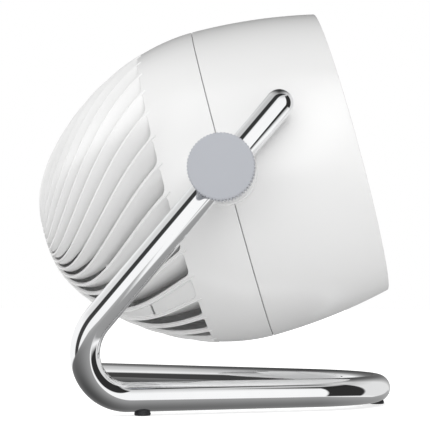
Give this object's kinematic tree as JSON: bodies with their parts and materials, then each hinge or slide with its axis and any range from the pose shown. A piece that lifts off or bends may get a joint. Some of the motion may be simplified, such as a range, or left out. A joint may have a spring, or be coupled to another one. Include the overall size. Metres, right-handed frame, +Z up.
{
  "type": "air circulator fan",
  "caption": "Tabletop air circulator: a white round head with a swirl-slotted rear bowl, hung from one arm of a bent chromed tube stand and tilted by a fluted clamp knob.",
  "frame": {"origin": "on the floor, under the middle of the whole object's bounding box", "axes": "+X is the way the air leaves, +Y runs along the tilt axis away from the knob, +Z is up"},
  "size_m": [0.255, 0.3222, 0.2816],
  "materials": {
    "stand_chrome": "polished",
    "shell_white": "gloss",
    "knob_plastic": "satin",
    "smoke_plastic": "satin",
    "duct_plastic": "matte",
    "foot_rubber": "matte",
    "saddle_nylon": "satin",
    "plain_steel": "satin",
    "bell_alloy": "satin",
    "winding_enamel": "gloss",
    "insert_brass": "satin"
  },
  "bodies": {
    "stand": {"stand_tube": "stand_chrome", "foot_near": "foot_rubber", "foot_far": "foot_rubber", "foot_nose": "foot_rubber", "inner_saddle": "saddle_nylon", "outer_saddle": "saddle_nylon"},
    "head": {"rear_shell": "shell_white", "front_shell": "shell_white", "front_grille": "smoke_plastic", "grille_cap": "shell_white", "fan_duct": "duct_plastic", "cord_gland": "foot_rubber", "duct_screw_1": "plain_steel", "duct_screw_2": "plain_steel", "duct_screw_3": "plain_steel", "duct_screw_4": "plain_steel", "motor_screw_1": "plain_steel", "motor_screw_2": "plain_steel", "motor_screw_3": "plain_steel", "motor_screw_4": "plain_steel", "motor_front_bell": "bell_alloy", "motor_rear_bell": "bell_alloy", "stator_core": "plain_steel", "winding_front": "winding_enamel", "winding_rear": "winding_enamel", "bearing_front": "plain_steel", "bearing_rear": "plain_steel", "run_capacitor": "duct_plastic", "pivot_hub": "shell_white", "threaded_insert": "insert_brass", "hub_washer": "plain_steel", "hub_nut": "saddle_nylon", "speed_switch": "duct_plastic"},
    "rotor": {"fan_blade": "smoke_plastic", "motor_shaft": "plain_steel", "rotor_core": "plain_steel", "blade_nut": "insert_brass"},
    "knob": {"knob_grip": "knob_plastic", "knob_face": "knob_plastic", "clamp_stud": "plain_steel"},
    "dial": {"speed_dial": "knob_plastic", "dial_spindle": "plain_steel"}
  },
  "joints": [
    {"name": "head_tilt", "type": "hinge", "parent": "stand", "child": "head", "pos_m": [0.01329, -0.00288, 0.1567], "axis": [0, -1, 0], "range_deg": [-45, 75]},
    {"name": "fan_spin", "type": "hinge", "parent": "head", "child": "rotor", "pos_m": [0.01397, -0.00288, 0.15875], "axis": [0.9652, 0, 0.2615], "continuous": true},
    {"name": "knob_turn", "type": "hinge", "parent": "head", "child": "knob", "pos_m": [0.01329, -0.00288, 0.1567], "axis": [0, -1, 0], "range_deg": [0, 360]},
    {"name": "speed_turn", "type": "hinge", "parent": "head", "child": "dial", "pos_m": [-0.12193, -0.00288, 0.12193], "axis": [-0.9652, 0, -0.2615], "range_deg": [0, 135]}
  ]
}
